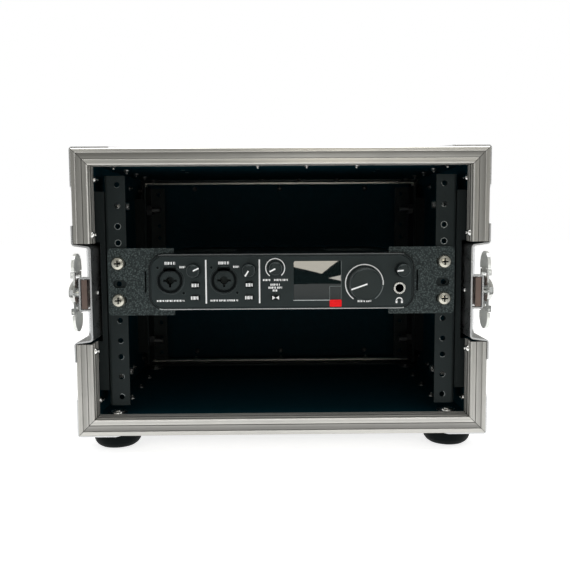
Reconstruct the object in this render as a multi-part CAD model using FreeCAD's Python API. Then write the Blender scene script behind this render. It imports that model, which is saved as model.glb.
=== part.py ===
"""Half-width 4U equipment rack case with one rack-mounted audio interface.

Frame: +X right, front opening faces -Y, +Z up, millimetres. The four feet stand
on Z = 0 and the bounding box is centred on X = 0, Y = 0.
"""
import FreeCAD
import Part
import math
import os

V = FreeCAD.Vector
X_AXIS, Y_AXIS, Z_AXIS = V(1, 0, 0), V(0, 1, 0), V(0, 0, 1)

# ---- driving dimensions -------------------------------------------------
CASE_W = 311.0            # outside width over the extrusions
CASE_H = 217.0            # outside height over the extrusions
BODY_D = 232.0            # depth of the body, front face to rear face
LID_D = 46.0              # depth of the rear lid
FOOT_H = 14.0             # floor to the case's lowest extrusion

FRAME_T = 12.3            # width of the frame's front face
LEG_T = 1.5               # outer wall of an extrusion
LEG_D = 33.0              # depth of the frame's outer leg
LIP_D = 17.5              # depth of the inner lip
MITRE_GAP = 0.15          # half the gap left where two bars meet
OUTER_RIB, INNER_RIB = 3.3, 4.1
GROOVE_D = 1.0            # depth of the frame's groove, by the outer rib
WEB_D = 3.9               # back of the frame's web, behind the face
PANEL_T = 9.0             # plywood

RAIL_SET = 19.0           # rail flange behind the case's face
RAIL_T = 2.0
RAIL_H = 178.8            # 4 rack units, less clearance
RAIL_LEG = 30.0           # depth of the rail's side leg
HOLE_X = 126.0            # rail hole centre from the middle plane
HOLE_R = 2.1              # tapped M5, drawn at its core size
RAIL_IN, RAIL_OUT = 119.7, 135.9
UNIT_U = 44.45            # one rack unit
UNIT_HOLES = (6.35, 22.225, 38.1)

RIVET_R, RIVET_HEAD_R, RIVET_HEAD_H = 1.6, 3.0, 1.1
RIVET_TAIL_R, RIVET_TAIL_H = 2.7, 2.4
STUB_R, STUB_H = 1.0, 0.8              # broken end of a rivet's pin
FIT = 0.1                 # radial clearance round a shank or pin
BRACE_T = 1.2
SHEET = 1.2               # pressed steel of the latch parts

# ---- places worked out from them ----------------------------------------
HALF_W, HALF_H = CASE_W / 2, CASE_H / 2
FRONT = -(BODY_D + LID_D + BRACE_T + RIVET_HEAD_H) / 2   # rivet heads are the rearmost points
REAR = FRONT + BODY_D
LID_REAR = REAR + LID_D
MID_Y = (FRONT + REAR) / 2
MID_Z = FOOT_H + HALF_H
PANEL_OUT = LEG_T                      # panel faces, measured in from the outside
PANEL_IN = LEG_T + PANEL_T
RAIL_Y = FRONT + RAIL_SET              # front face of the front rails' flange
BOLT_Z = 1.5 * UNIT_U                  # rail bolts sit level with holes 2 and 11
BOLT_BACK = 22.0                       # rail bolts behind the flange
ROW_BACK = 27.0                        # rivet row behind a face
LATCH_BACK = 17.5                      # latch axis behind a face


# ---- small builders -------------------------------------------------------
def box(x0, x1, y0, y1, z0, z1):
    return Part.makeBox(x1 - x0, y1 - y0, z1 - z0, V(x0, y0, z0))


def rod(start, radius, length, axis):
    return Part.makeCylinder(radius, length, start, axis)


def prism(points, push):
    """A flat outline pushed along a vector."""
    wire = Part.makePolygon(list(points) + [points[0]])
    return Part.Face(wire).extrude(push)


def rounded_face(half_u, half_v, radius, place):
    """Face of a rectangle with round corners; place(u, v) gives each 3-D point."""
    k = radius * (1 - math.sqrt(0.5))
    edges = []
    corners = ((1, 1), (-1, 1), (-1, -1), (1, -1))
    ends = []
    for su, sv in corners:
        a = place(su * half_u, sv * (half_v - radius))
        b = place(su * (half_u - radius), sv * half_v)
        mid = place(su * (half_u - k), sv * (half_v - k))
        if su * sv < 0:
            a, b = b, a
        ends.append((a, b))
        edges.append(Part.Arc(a, mid, b).toShape())
    for i in range(4):
        edges.append(Part.LineSegment(ends[i][1], ends[(i + 1) % 4][0]).toShape())
    return Part.Face(Part.Wire(Part.__sortEdges__(edges)))


def rounded_plate(cx, cz, width, height, radius, y0, y1):
    """Plate facing -Y with round corners."""
    face = rounded_face(width / 2, height / 2, radius, lambda u, v: V(cx + u, y0, cz + v))
    return face.extrude(V(0, y1 - y0, 0))


def dome(base, radius, height, axis):
    """Spherical cap on a plane through base."""
    ball_r = (radius ** 2 + height ** 2) / (2 * height)
    ball = Part.makeSphere(ball_r, base + axis * (height - ball_r))
    return ball.common(rod(base, radius, height + 0.1, axis))


def turned(points, base, axis):
    """Solid of revolution: points are (radius, distance along axis)."""
    wire = Part.makePolygon([V(r, 0, d) for r, d in points] + [V(points[0][0], 0, points[0][1])])
    solid = Part.Face(wire).revolve(V(0, 0, 0), Z_AXIS, 360)
    solid.Placement = FreeCAD.Placement(base, FreeCAD.Rotation(Z_AXIS, axis))
    return solid


def flip_x(shape):
    return shape.mirror(V(0, 0, 0), X_AXIS)


def flip_body(shape):
    """Mirror front to rear about the body's middle."""
    return shape.mirror(V(0, MID_Y, 0), Y_AXIS)


def flip_z(shape):
    return shape.mirror(V(0, 0, MID_Z), Z_AXIS)


def four(shape):
    """The four copies of a shape about the case's X and Z middle planes."""
    pair = [shape, flip_x(shape)]
    return pair + [flip_z(s) for s in pair]


def fuse(shapes):
    return shapes[0].fuse(shapes[1:]).removeSplitter()


def hole_heights():
    """The twelve rail holes, top one first."""
    top = MID_Z + 2 * UNIT_U
    return [top - unit * UNIT_U - drop for unit in range(4) for drop in UNIT_HOLES]


nodes = {}


def keep(name, *shapes):
    solids = [s for shape in shapes for s in shape.Solids]
    nodes[name] = Part.makeCompound(solids)


# ---- fasteners --------------------------------------------------------------
class Rivets:
    """Blind rivets and the holes that they need."""

    def __init__(self):
        self.solids, self.drills = [], []

    def add(self, point, inward, grip):
        """point: on the outer face; inward: unit vector; grip: stack thickness."""
        head = dome(point, RIVET_HEAD_R, RIVET_HEAD_H, inward * -1)
        shank = rod(point, RIVET_R, grip, inward)
        tail = dome(point + inward * grip, RIVET_TAIL_R, RIVET_TAIL_H, inward)
        stub = rod(point + inward * (grip + RIVET_TAIL_H - 0.3), STUB_R, STUB_H + 0.3, inward)
        self.solids.append(fuse([head, shank, tail, stub]))
        self.drills.append(rod(point - inward * 1, RIVET_R + FIT, grip + 2, inward))

    def drill(self, shape):
        """Cut the holes that meet a shape."""
        near = [d for d in self.drills if d.BoundBox.intersect(shape.BoundBox)]
        return shape.cut(near) if near else shape


body_rivets, lid_rivets = Rivets(), Rivets()


# ---- extruded frames ----------------------------------------------------------
def groove_floor(n0, n1):
    """Shallow hollow between the ribs: deepest by the outer one, with a fine line by the inner one."""
    points = []
    count = 9
    for i in range(count):
        t = i / (count - 1)
        points.append((n0 + 0.5 + (n1 - n0 - 0.9) * t, GROOVE_D - (GROOVE_D - 0.3) * t ** 1.5))
    return points + [(n1 - 0.25, 0.8), (n1 - 0.1, 0.8)]


def body_profile():
    """Body frame section as (inward from outside, depth behind the face)."""
    groove_in = FRAME_T - INNER_RIB
    web = WEB_D
    lip_face = [(FRAME_T, 0.7)]
    for line in (4.6, 9.2, 13.4):
        lip_face += [(FRAME_T, line), (FRAME_T - 0.6, line + 0.3),
                     (FRAME_T - 0.6, line + 1.1), (FRAME_T, line + 1.4)]
    return ([(0, 0.7), (0.7, 0), (OUTER_RIB - 0.3, 0), (OUTER_RIB, 0.3)]
            + groove_floor(OUTER_RIB, groove_in)
            + [(groove_in, 0.3), (groove_in + 0.3, 0), (FRAME_T - 0.7, 0)] + lip_face
            + [(FRAME_T, LIP_D), (PANEL_IN, LIP_D), (PANEL_IN, web), (LEG_T, web),
               (LEG_T, LEG_D), (0.5, LEG_D), (0, LEG_D - 0.5)])


def lid_profile():
    """Lid frame section: flat face, and a lip that stands inside the body's lip."""
    gap, play, reach, web, leg = 0.3, 0.5, 3.0, 4.0, 28.0
    lip_in = FRAME_T + play
    return [(0, gap + 0.6), (0.6, gap), (lip_in, gap), (lip_in, -reach), (lip_in + 1.3, -reach),
            (lip_in + 1.5, 0.2 - reach), (lip_in + 1.5, web), (PANEL_IN + 1.5, web), (PANEL_IN + 1.5, 12.0),
            (PANEL_IN, 12.0), (PANEL_IN, web), (LEG_T, web), (LEG_T, leg), (0, leg)]


def mitred_ring(profile, face_y, back):
    """Four mitred lengths of a section; back is +1 or -1, away from the face."""
    long_side = 2 * CASE_W
    sides = []
    reach = FRAME_T + 3
    for sign in (1, -1):
        pts = [V(-CASE_W, face_y + back * d, MID_Z + sign * (HALF_H - n)) for n, d in profile]
        far, near = HALF_W - MITRE_GAP, HALF_W - MITRE_GAP - reach
        wedge = prism([V(-far, -400, MID_Z + sign * HALF_H), V(far, -400, MID_Z + sign * HALF_H),
                       V(near, -400, MID_Z + sign * (HALF_H - reach)),
                       V(-near, -400, MID_Z + sign * (HALF_H - reach))], V(0, 800, 0))
        sides.append(prism(pts, V(long_side, 0, 0)).common(wedge))
        pts = [V(sign * (HALF_W - n), face_y + back * d, MID_Z - CASE_H) for n, d in profile]
        far, near = HALF_H - MITRE_GAP, HALF_H - MITRE_GAP - reach
        wedge = prism([V(sign * HALF_W, -400, MID_Z - far), V(sign * HALF_W, -400, MID_Z + far),
                       V(sign * (HALF_W - reach), -400, MID_Z + near),
                       V(sign * (HALF_W - reach), -400, MID_Z - near)], V(0, 800, 0))
        sides.append(prism(pts, V(0, 0, 2 * CASE_H)).common(wedge))
    return sides


# ---- latch sizes -------------------------------------------------------------
CUT_Z = 37.7              # half height of the frame's cut-out for a latch
DISH_Z = 51.5             # half height of the dish flange
DISH_Y = 51.0             # dish flange, back from the face
WELL_Y = 41.0             # dish well, back from the face, outside
FLOOR_N = 12.0            # inner face of the dish floor, in from the outside
WELL_TAPER = 2.0          # each end of the well narrows this much towards its floor
HUB_R = 11.3
HUB_OUT, HUB_IN = 8.9, 2.9             # crown and foot of the hub's dome, out from the case
SHAFT_R, STEM_R = 3.5, 1.6
PLATE_OUT, PLATE_IN = 2.8, 1.6         # wing plate, out from the case's side
HINGE_Z, HINGE_OUT = 14.6, 3.4         # wing hinge pin from the hub's axis
PIN_R = 0.9
WING_Z0, WING_Z1, WING_Y = 17.0, 30.2, 10.6
THROW = 12.0              # hook travel
HOOK_N0, HOOK_N1, HOOK_Z = 5.4, 7.4, 11.0
GUIDE_Z, GUIDE_N = 12.8, 3.2
DISH_RIVET_Z, DISH_RIVET_Y = 44.5, 9.0
REAR_RIVET_Z, REAR_RIVET_Y = 30.0, 46.0


def side(n):
    """X of a depth n in from the right side's outside."""
    return HALF_W - n


def dish(face_y, flange_y, well_y):
    """Pressed recess in the right side, open at the joint plane."""
    def well(half, grow, n_floor, y_back, radius):
        out, floor = side(-SHEET), side(n_floor)
        taper = half + grow - WELL_TAPER
        solid = prism([V(out, face_y, MID_Z - half - grow), V(out, face_y, MID_Z + half + grow),
                       V(floor, face_y, MID_Z + taper), V(floor, face_y, MID_Z - taper)], V(0, y_back, 0))
        back = [e for e in solid.Edges if e.CenterOfMass.y > face_y + y_back - 0.01
                and abs(e.CenterOfMass.x - out) > 0.01]
        sides = [e for e in solid.Edges if abs(e.CenterOfMass.y - face_y - y_back / 2) < 0.01
                 and abs(e.CenterOfMass.x - floor) < 0.01]
        return solid.makeFillet(radius, back + sides)

    inner = CUT_Z - SHEET
    flange = box(side(0), side(-SHEET), face_y, face_y + flange_y, MID_Z - DISH_Z, MID_Z + DISH_Z)
    corners = [e for e in flange.Edges if abs(e.CenterOfMass.y - face_y - flange_y) < 0.01
               and abs(abs(e.CenterOfMass.z - MID_Z) - DISH_Z) < 0.01]
    flange = flange.makeFillet(12.0, corners)
    body = flange.fuse(well(inner, SHEET, FLOOR_N + SHEET, well_y, 3.0))
    body = body.cut(well(inner, 0, FLOOR_N, well_y - SHEET, 2.0)).removeSplitter()
    mouth = [e for e in body.Edges if abs(e.CenterOfMass.x - side(-SHEET)) < 0.01
             and abs(abs(e.CenterOfMass.z - MID_Z) - inner) < 0.3 and e.Length > 20]
    return body.makeFillet(2.6, mouth)


def bridge(y0, y1):
    """Flat strap over the hook, feet on the dish floor."""
    outer = box(side(FLOOR_N), side(GUIDE_N), y0, y1, MID_Z - GUIDE_Z, MID_Z + GUIDE_Z)
    inner = box(side(FLOOR_N), side(GUIDE_N + SHEET), y0, y1,
                MID_Z - GUIDE_Z + SHEET, MID_Z + GUIDE_Z - SHEET)
    edges = [e for e in outer.Edges if abs(e.Length - (y1 - y0)) < 0.01
             and e.CenterOfMass.x > side(GUIDE_N) - 0.01]
    return outer.makeFillet(1.5, edges).cut(inner)


def hub():
    """Turning hub of the front right latch: dome with a key window, hinge lugs, shaft and stem."""
    centre_y = FRONT + LATCH_BACK
    dome_body = dome(V(side(-HUB_IN), centre_y, MID_Z), HUB_R, HUB_OUT - HUB_IN, X_AXIS)
    base = rod(V(side(-PLATE_IN), centre_y, MID_Z), HUB_R, HUB_IN - PLATE_IN, X_AXIS)
    shaft = rod(V(side(FLOOR_N - 0.4), centre_y, MID_Z), SHAFT_R, FLOOR_N + PLATE_IN, X_AXIS)
    stem = rod(V(side(FLOOR_N + SHEET + 0.3), centre_y, MID_Z), STEM_R, SHEET + 1.0, X_AXIS)
    tail = dome(V(side(FLOOR_N + SHEET + 0.3), centre_y, MID_Z), 2.3, 1.3, X_AXIS * -1)
    parts = [dome_body, base, shaft, stem, tail]
    for sign in (1, -1):
        for n1, reach0, reach1 in ((HUB_IN, 6.0, 12.0), (HINGE_OUT + 1.5, 11.6, HINGE_Z + 1.6)):
            z0, z1 = sorted((MID_Z + sign * reach0, MID_Z + sign * reach1))
            for y0 in (centre_y - 9.4, centre_y + 6.4):
                parts.append(box(side(-PLATE_IN), side(-n1), y0, y0 + 3.0, z0, z1))
    solid = fuse(parts)
    for sign in (1, -1):
        pin = V(side(-HINGE_OUT), centre_y - 12, MID_Z + sign * HINGE_Z)
        solid = solid.cut(rod(pin, PIN_R + FIT, 24, Y_AXIS))
    window = box(side(-HUB_IN), side(-HUB_OUT + 1.2), centre_y - HUB_R - 1, centre_y + HUB_R + 1,
                 MID_Z - 2.9, MID_Z + 2.9)
    return solid.cut(window)


def wing():
    """Upper thumb wing of the front right latch, folded flat."""
    centre_y = FRONT + LATCH_BACK

    def d_plate(inset, n_out, n_in):
        x = side(-n_in)
        low = MID_Z + WING_Z0 + inset
        half = WING_Y - inset
        a, b = V(x, centre_y - half, low), V(x, centre_y + half, low)
        shoulder = low + 3.0
        c, d = V(x, centre_y + half, shoulder), V(x, centre_y - half, shoulder)
        top = V(x, centre_y, MID_Z + WING_Z1 - inset)
        wire = Part.Wire([Part.LineSegment(a, b).toShape(), Part.LineSegment(b, c).toShape(),
                          Part.Arc(c, top, d).toShape(), Part.LineSegment(d, a).toShape()])
        return Part.Face(wire).extrude(V(n_out - n_in, 0, 0))

    plate = d_plate(0, PLATE_OUT + 1.0, PLATE_IN).cut(d_plate(1.7, PLATE_OUT + 2, PLATE_OUT))
    tongue = box(side(-PLATE_IN), side(-PLATE_OUT), centre_y - 5.8, centre_y + 5.8,
                 MID_Z + HINGE_Z, MID_Z + WING_Z0 + 2)
    knuckle = rod(V(side(-HINGE_OUT), centre_y - 5.8, MID_Z + HINGE_Z), 1.7, 11.6, Y_AXIS)
    pin = rod(V(side(-HINGE_OUT), centre_y - 9.6, MID_Z + HINGE_Z), PIN_R, 19.2, Y_AXIS)
    return fuse([plate, tongue, knuckle, pin])


def hook():
    """Sliding hook of the front right latch, drawn back."""
    y0, y1 = FRONT + 0.6, FRONT + WELL_Y - SHEET - 2.6
    hub_y = FRONT + LATCH_BACK
    plate = box(side(HOOK_N1), side(HOOK_N0), y0, y1, MID_Z - HOOK_Z, MID_Z + HOOK_Z)
    slot_r = SHAFT_R + 0.4
    slot = box(side(HOOK_N1) - 1, side(HOOK_N0) + 1, hub_y, hub_y + THROW,
               MID_Z - slot_r, MID_Z + slot_r)
    ends = [rod(V(side(HOOK_N1) - 1, y, MID_Z), slot_r, 4, X_AXIS) for y in (hub_y, hub_y + THROW)]
    claw = box(side(HOOK_N1 + 2.1), side(HOOK_N1), y0, y0 + 2.2, MID_Z - HOOK_Z, MID_Z + HOOK_Z)
    return plate.fuse(claw).cut([slot] + ends).removeSplitter()


def latches():
    """Four identical latches: two at the front face, two at the rear."""
    places = {"front_right": lambda s: s, "front_left": flip_x,
              "rear_right": flip_body, "rear_left": lambda s: flip_x(flip_body(s))}
    hub_hole = rod(V(side(FLOOR_N + 3), FRONT + LATCH_BACK, MID_Z), STEM_R + FIT, 5, X_AXIS)
    pan = dish(FRONT, DISH_Y, WELL_Y).cut(hub_hole)
    pan = body_rivets.drill(pan)
    guide = bridge(FRONT + 1, FRONT + 9)
    upper = wing()
    keep("latch_dishes", *[move(pan) for move in places.values()])
    keep("latch_guides", *[move(guide) for move in places.values()])
    for name, move in places.items():
        keep("latch_hub_" + name, move(hub()))
        keep("latch_hook_" + name, move(hook()))
        keep("latch_wing_upper_" + name, move(upper))
        keep("latch_wing_lower_" + name, move(flip_z(upper)))


def latch_rivets():
    for sx in (1, -1):
        for sz in (1, -1):
            for y in (FRONT + DISH_RIVET_Y, REAR - DISH_RIVET_Y):
                body_rivets.add(V(sx * (HALF_W + SHEET), y, MID_Z + sz * DISH_RIVET_Z),
                                V(-sx, 0, 0), FRAME_T + SHEET)
            for y in (FRONT + REAR_RIVET_Y, REAR - REAR_RIVET_Y):
                body_rivets.add(V(sx * (HALF_W + SHEET), y, MID_Z + sz * REAR_RIVET_Z),
                                V(-sx, 0, 0), PANEL_IN + SHEET)


# ---- case body -------------------------------------------------------------------
BRACE_LEG, BRACE_Y0, BRACE_Y1 = 36.0, 1.5, 50.0
ANGLE_LEG = 30.0
RIVET_ROW_X = (-18.0, 20.0, 59.0)      # along the top and bottom frames
CORNER_RIVET_X = HALF_W - 25.5
CORNER_RIVET_Z = HALF_H - 21.5
FOOT_X, FOOT_BACK, FOOT_R = 131.5, 27.0, 19.0


def brace():
    """L-shaped corner brace at the upper right front corner."""
    y0, y1, cut = FRONT + BRACE_Y0, FRONT + BRACE_Y1, 8.0
    tip = HALF_W - BRACE_LEG
    top = prism([V(HALF_W + BRACE_T, y0, MID_Z + HALF_H), V(HALF_W + BRACE_T, y1, MID_Z + HALF_H),
                 V(tip + cut, y1, MID_Z + HALF_H), V(tip, y1 - cut, MID_Z + HALF_H),
                 V(tip, y0 + cut, MID_Z + HALF_H), V(tip + cut, y0, MID_Z + HALF_H)],
                V(0, 0, BRACE_T))
    low = MID_Z + HALF_H - BRACE_LEG
    flank = prism([V(HALF_W, y0, MID_Z + HALF_H + BRACE_T), V(HALF_W, y1, MID_Z + HALF_H + BRACE_T),
                   V(HALF_W, y1, low + cut), V(HALF_W, y1 - cut, low), V(HALF_W, y0 + cut, low),
                   V(HALF_W, y0, low + cut)], V(BRACE_T, 0, 0))
    solid = fuse([top, flank])
    corner = [e for e in solid.Edges if e.Length > 40
              and abs(e.CenterOfMass.x - HALF_W - BRACE_T) < 0.01
              and abs(e.CenterOfMass.z - MID_Z - HALF_H - BRACE_T) < 0.01]
    return solid.makeFillet(2.2, corner)


def edge_angle():
    """Outside angle along the upper right long edge."""
    y0, y1 = FRONT + LEG_D + 0.2, REAR - LEG_D - 0.2
    top = box(HALF_W - ANGLE_LEG, HALF_W, y0, y1, MID_Z + HALF_H - LEG_T, MID_Z + HALF_H)
    flank = box(HALF_W - LEG_T, HALF_W, y0, y1, MID_Z + HALF_H - ANGLE_LEG, MID_Z + HALF_H)
    return fuse([top, flank])


def body_rivet_rows():
    down = Z_AXIS * -1
    for y in (FRONT + ROW_BACK, REAR - ROW_BACK):
        for x in RIVET_ROW_X:
            body_rivets.add(V(x, y, MID_Z + HALF_H), down, PANEL_IN)
        for sx in (1, -1):
            body_rivets.add(V(sx * CORNER_RIVET_X, y, MID_Z + HALF_H + BRACE_T), down,
                            PANEL_IN + BRACE_T)
            for sz in (1, -1):
                body_rivets.add(V(sx * (HALF_W + BRACE_T), y, MID_Z + sz * CORNER_RIVET_Z),
                                V(-sx, 0, 0), PANEL_IN + BRACE_T)
    for sx in (1, -1):
        for y in (FRONT + 75, MID_Y, REAR - 75):
            for sz in (1, -1):
                body_rivets.add(V(sx * CORNER_RIVET_X, y, MID_Z + sz * HALF_H), V(0, 0, -sz), PANEL_IN)
                body_rivets.add(V(sx * HALF_W, y, MID_Z + sz * CORNER_RIVET_Z), V(-sx, 0, 0), PANEL_IN)


def bolt_places():
    """Rail bolt axes: (side sign, y, z)."""
    return [(sx, y, MID_Z + sz * BOLT_Z) for sx in (1, -1) for sz in (1, -1)
            for y in (RAIL_Y + BOLT_BACK, REAR - RAIL_SET - BOLT_BACK)]


def foot_places():
    return [(sx * FOOT_X, y) for sx in (1, -1) for y in (FRONT + FOOT_BACK, REAR - FOOT_BACK)]


def case_body():
    drills = [rod(V(sx * (HALF_W + 2), y, z), 3.0 + FIT, 34, V(-sx, 0, 0)) for sx, y, z in bolt_places()]
    foot_drills = [rod(V(x, y, 0), 2.5 + FIT, 40, Z_AXIS) for x, y in foot_places()]
    wells = []
    for y0, y1 in ((FRONT - 1, FRONT + WELL_Y + 0.3), (REAR - WELL_Y - 0.3, REAR + 1)):
        for x0, x1 in ((HALF_W - FRAME_T - 3, HALF_W + 1), (-HALF_W - 1, FRAME_T + 3 - HALF_W)):
            wells.append(box(x0, x1, y0, y1, MID_Z - CUT_Z - 0.3, MID_Z + CUT_Z + 0.3))
    y0, y1 = FRONT + WEB_D + 0.2, REAR - WEB_D - 0.2
    board = box(PANEL_OUT - HALF_W, HALF_W - PANEL_OUT, y0, y1,
                MID_Z + HALF_H - PANEL_IN, MID_Z + HALF_H - PANEL_OUT)
    handle_holes = [rod(V(x, y, MID_Z + HALF_H - 20), 2.0 + FIT, 40, Z_AXIS)
                    for x, y in handle_screw_places()]
    keep("top_panel", body_rivets.drill(board).cut(handle_holes))
    keep("bottom_panel", body_rivets.drill(flip_z(board)).cut(foot_drills))
    wall = box(HALF_W - PANEL_IN, HALF_W - PANEL_OUT, y0, y1,
               MID_Z - HALF_H + PANEL_IN, MID_Z + HALF_H - PANEL_IN)
    keep("right_panel", body_rivets.drill(wall).cut(wells + drills))
    keep("left_panel", body_rivets.drill(flip_x(wall)).cut(wells + drills))
    for name, face_y, back in (("front_valance", FRONT, 1), ("rear_valance", REAR, -1)):
        ring = mitred_ring(body_profile(), face_y, back)
        sides = [body_rivets.drill(s).cut(wells + foot_drills) for s in ring]
        keep(name, *sides)
    keep("edge_angles", *[body_rivets.drill(a) for a in four(edge_angle())])
    braces = four(brace())
    braces += [flip_body(b) for b in braces]
    keep("corner_braces", *[body_rivets.drill(b).cut(foot_drills) for b in braces])
    keep("case_rivets", *body_rivets.solids)


def feet():
    shapes, screws = [], []
    top = FOOT_H - BRACE_T
    for x, y in foot_places():
        outline = [(0, 0), (FOOT_R - 7.6, 0), (FOOT_R - 5.0, 0.8), (FOOT_R - 2.9, 2.3), (FOOT_R - 1.4, 4.4),
                   (FOOT_R - 0.5, 7.2), (FOOT_R, 10.6), (FOOT_R, top), (0, top)]
        foot = turned(outline, V(x, y, 0), Z_AXIS)
        recess = rod(V(x, y, -1), 6.0, 6.5, Z_AXIS)
        shapes.append(foot.cut([recess, rod(V(x, y, 0), 2.5 + FIT, 20, Z_AXIS)]))
        inside = FOOT_H + PANEL_IN
        head = dome(V(x, y, 5.5), 4.6, 2.6, Z_AXIS * -1)
        screws.append(fuse([head, rod(V(x, y, 5.5), 2.5, inside - 5.5 + 2.5, Z_AXIS)]))
        nut = turned([(2.5 + FIT, 0), (8, 0), (8, 1.0), (5, 1.4), (5, 2.2), (2.5 + FIT, 2.2)],
                     V(x, y, inside), Z_AXIS)
        screws.append(nut)
    keep("feet", *shapes)
    keep("foot_screws", *screws)


# ---- rack rails ------------------------------------------------------------------
def rail():
    """Front right rack rail: drilled flange and side leg."""
    z0, z1 = MID_Z - RAIL_H / 2, MID_Z + RAIL_H / 2
    flange = box(RAIL_IN, RAIL_OUT, RAIL_Y, RAIL_Y + RAIL_T, z0, z1)
    leg = box(RAIL_OUT - RAIL_T, RAIL_OUT, RAIL_Y, RAIL_Y + RAIL_LEG, z0, z1)
    solid = fuse([flange, leg])
    bend = [e for e in solid.Edges if abs(e.CenterOfMass.x - RAIL_OUT) < 0.01
            and abs(e.CenterOfMass.y - RAIL_Y) < 0.01]
    solid = solid.makeFillet(3.0, bend)
    holes = [rod(V(HOLE_X, RAIL_Y - 1, z), HOLE_R, 5, Y_AXIS) for z in hole_heights()]
    holes += [rod(V(RAIL_OUT + 1, RAIL_Y + BOLT_BACK, MID_Z + sz * BOLT_Z), 3.0 + FIT, 5, V(-1, 0, 0))
              for sz in (1, -1)]
    return solid.cut(holes)


def rails():
    right = rail()
    keep("front_rail_right", right)
    keep("front_rail_left", flip_x(right))
    keep("rear_rails", flip_body(right), flip_x(flip_body(right)))
    half = 77.5
    board = box(RAIL_OUT + 0.1, HALF_W - PANEL_IN, RAIL_Y + 1.2, RAIL_Y + RAIL_LEG + 1,
                MID_Z - half, MID_Z + half)
    pocket = box(side(FLOOR_N + SHEET + 2.1), side(PANEL_IN) + 1, FRONT, FRONT + REAR_RIVET_Y + 3.5,
                 MID_Z - CUT_Z - 1, MID_Z + CUT_Z + 1)
    holes = [rod(V(RAIL_OUT - 2, RAIL_Y + BOLT_BACK, MID_Z + sz * BOLT_Z), 3.0 + FIT, 14, X_AXIS)
             for sz in (1, -1)]
    board = board.cut([pocket] + holes)
    keep("spacer_boards", board, flip_x(board), flip_body(board), flip_x(flip_body(board)))
    bolts = []
    for sx, y, z in bolt_places():
        inward = V(-sx, 0, 0)
        face = V(sx * (HALF_W - PANEL_OUT), y, z)
        head = dome(face, 5.5, 2.6, inward * -1)
        grip = HALF_W - PANEL_OUT - (RAIL_OUT - RAIL_T)
        bolts.append(fuse([head, rod(face, 3.0, grip + 12.5, inward)]))
        corner = [V(sx * (RAIL_OUT - RAIL_T), y + 5.5 * math.cos(a), z + 5.5 * math.sin(a))
                  for a in (math.radians(60 * i) for i in range(6))]
        nut = prism(corner, inward * 4.6)
        bolts.append(nut.cut(rod(face, 3.0 + FIT, 60, inward)))
    keep("rail_bolts", *bolts)


# ---- top handle ----------------------------------------------------------------------
HANDLE_X, HANDLE_Y, HANDLE_REACH = 72.0, MID_Y - 22.0, 42.0
HANDLE_Z = MID_Z + HALF_H - PANEL_OUT + 5.6
BAIL_R, GRIP_R, LUG_T = 3.0, 4.5, 6.0


def handle_screw_places():
    return [(sx * (HANDLE_X + 11), HANDLE_Y + dy) for sx in (1, -1) for dy in (-14, 14)]


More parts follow.
